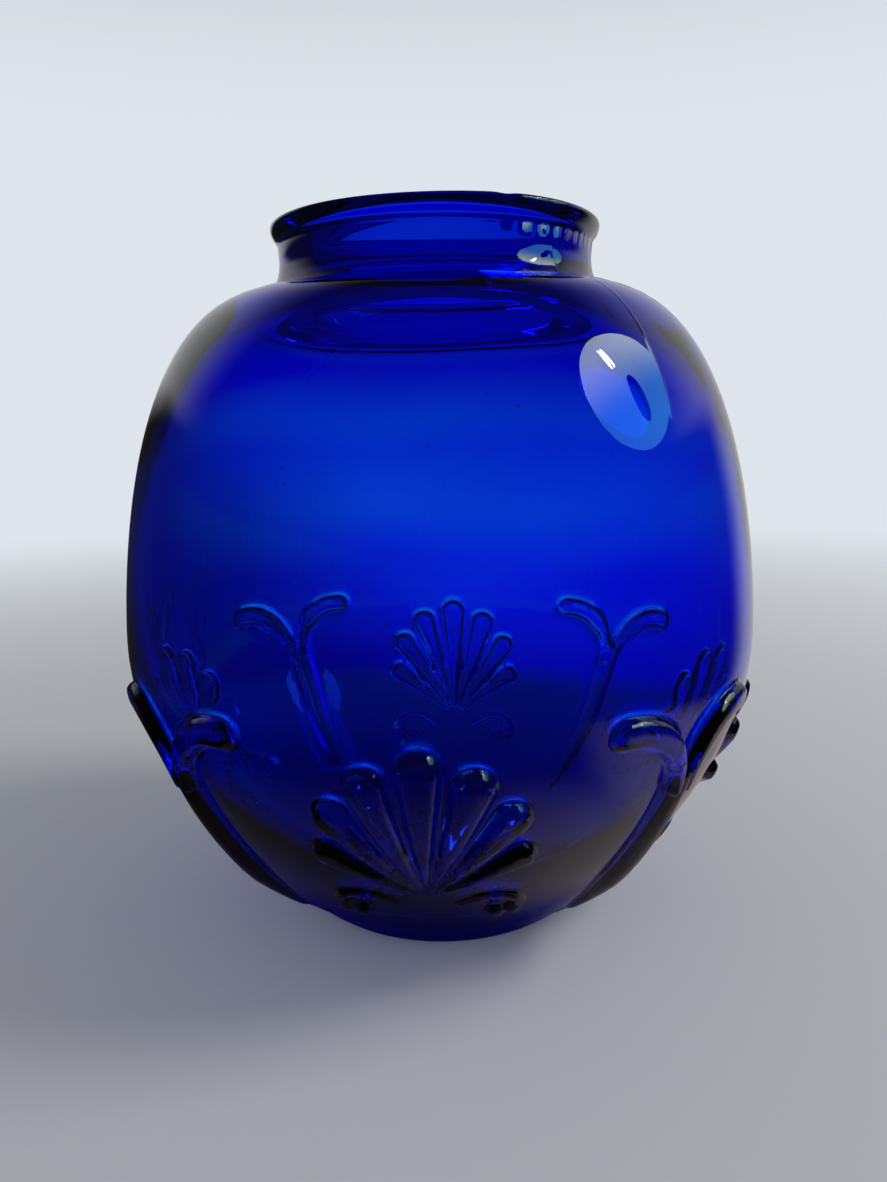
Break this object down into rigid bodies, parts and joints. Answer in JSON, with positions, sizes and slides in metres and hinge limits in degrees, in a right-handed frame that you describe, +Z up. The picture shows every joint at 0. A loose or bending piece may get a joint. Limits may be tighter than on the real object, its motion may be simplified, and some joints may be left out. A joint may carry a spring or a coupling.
{
  "type": "wide-mouth glass bottle",
  "caption": "Round-shouldered cobalt glass bottle with a wide collared mouth, a small flat foot, and raised palmettes and forked scrolls around its lower body.",
  "frame": {"origin": "middle of the plane that the foot rests on", "axes": "+Z up along the bottle's axis; -Y faces the front palmette, +X is to its right as seen from the front"},
  "size_m": [0.195, 0.195, 0.2081],
  "materials": {
    "wall_glass": "gloss",
    "foot_glass": "gloss",
    "lip_glass": "ground and polished",
    "relief_glass": "gloss"
  },
  "bodies": {
    "root": {"foot": "foot_glass", "bowl": "wall_glass", "belly": "wall_glass", "shoulder": "wall_glass", "neck": "wall_glass", "lip": "lip_glass", "palmette_front": "relief_glass", "palmette_right": "relief_glass", "palmette_back": "relief_glass", "palmette_left": "relief_glass", "scrolls_front_right": "relief_glass", "scrolls_back_right": "relief_glass", "scrolls_back_left": "relief_glass", "scrolls_front_left": "relief_glass"}
  },
  "joints": []
}
